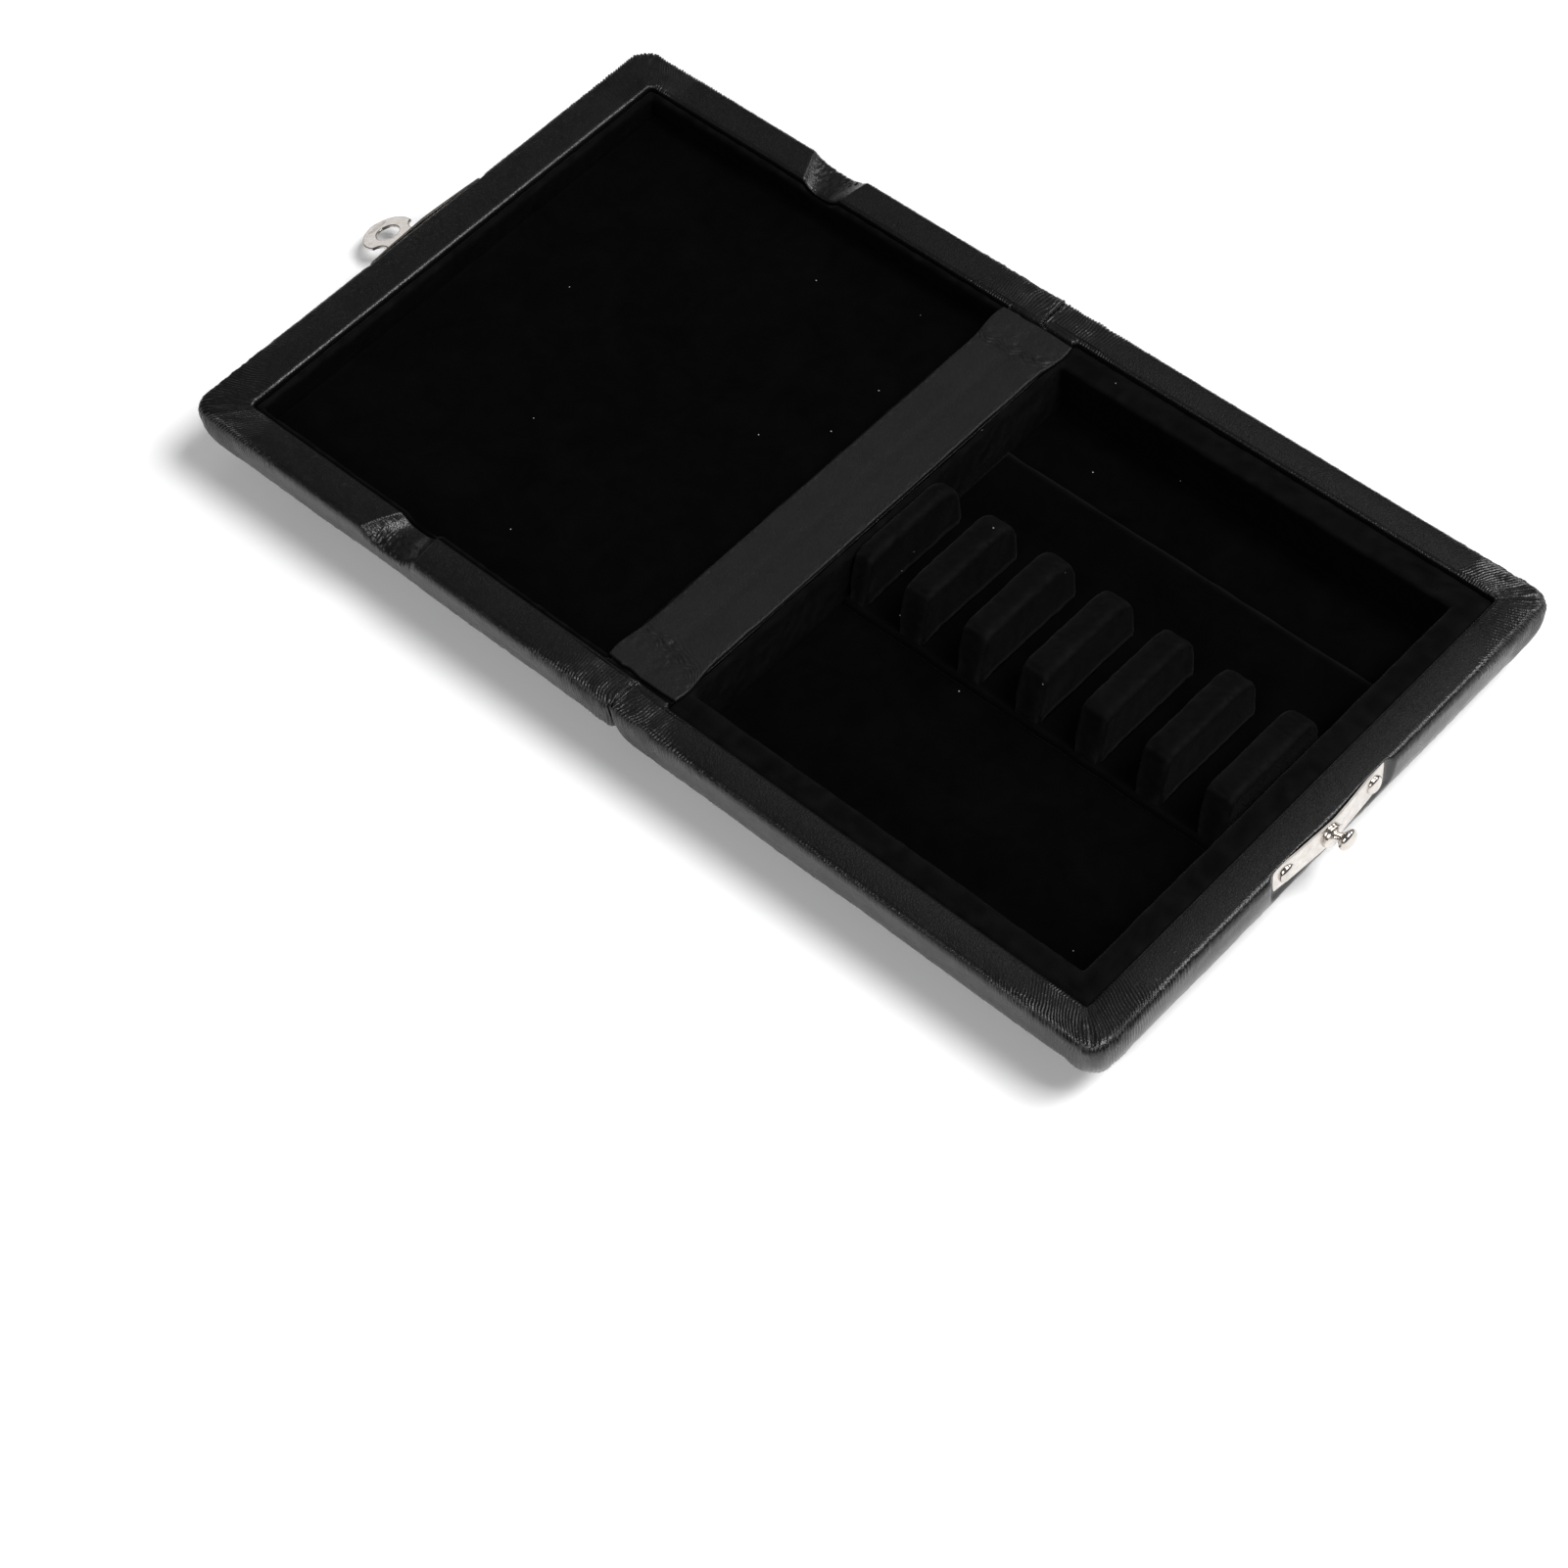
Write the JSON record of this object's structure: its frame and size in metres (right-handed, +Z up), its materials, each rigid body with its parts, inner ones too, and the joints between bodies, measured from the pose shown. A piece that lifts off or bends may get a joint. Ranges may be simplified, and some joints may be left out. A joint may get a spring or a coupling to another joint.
{
  "type": "jewelry box",
  "caption": "Small flat case in padded black leather: velvet-lined well with a slotted rack, shallow velvet lid on a leather strip hinge, nickel hasp over a button stud.",
  "frame": {"origin": "middle of the flat underside of the base, on the surface the open case lies on", "axes": "+X from the hinge to the base's front wall with the catch, +Y along the hinge, +Z up; the lid lies open flat towards -X"},
  "size_m": [0.2089, 0.105, 0.0156],
  "materials": {
    "leather": "fine-grained, semi-gloss black",
    "strip_leather": "smooth, matt dark grey",
    "velvet": "short-pile black velvet",
    "board": "plain board, hidden",
    "foam": "soft foam, hidden",
    "nickel": "bright nickel plate, slightly warm"
  },
  "bodies": {
    "base": {"base_leather_cover": "leather", "base_board_tray": "board", "base_velvet_floor": "velvet", "base_velvet_walls": "velvet", "rack_platform": "velvet", "rack_tooth_1": "velvet", "rack_tooth_2": "velvet", "rack_tooth_3": "velvet", "rack_tooth_4": "velvet", "rack_tooth_5": "velvet", "rack_tooth_6": "velvet", "rack_tooth_7": "velvet", "hinge_strip_base_leaf": "strip_leather", "base_latch_plate": "nickel", "base_rivet_near": "nickel", "base_rivet_far": "nickel", "latch_stud": "nickel"},
    "lid": {"lid_leather_cover": "leather", "lid_board_tray": "board", "lid_foam_pad": "foam", "lid_velvet_panel": "velvet", "lid_velvet_walls": "velvet", "hinge_strip_lid_leaf": "strip_leather", "lid_latch_plate": "nickel", "lid_rivet_near": "nickel", "lid_rivet_far": "nickel", "hasp_pin": "nickel"},
    "hasp": {"hasp": "nickel"}
  },
  "joints": [
    {"name": "lid_hinge", "type": "hinge", "parent": "base", "child": "lid", "pos_m": [-0.0475, 0, 0.01575], "axis": [0, 1, 0], "range_deg": [0, 180]},
    {"name": "hasp_hinge", "type": "hinge", "parent": "lid", "child": "hasp", "pos_m": [-0.14365, 0, 0.00825], "axis": [0, 1, 0], "range_deg": [0, 108]}
  ]
}
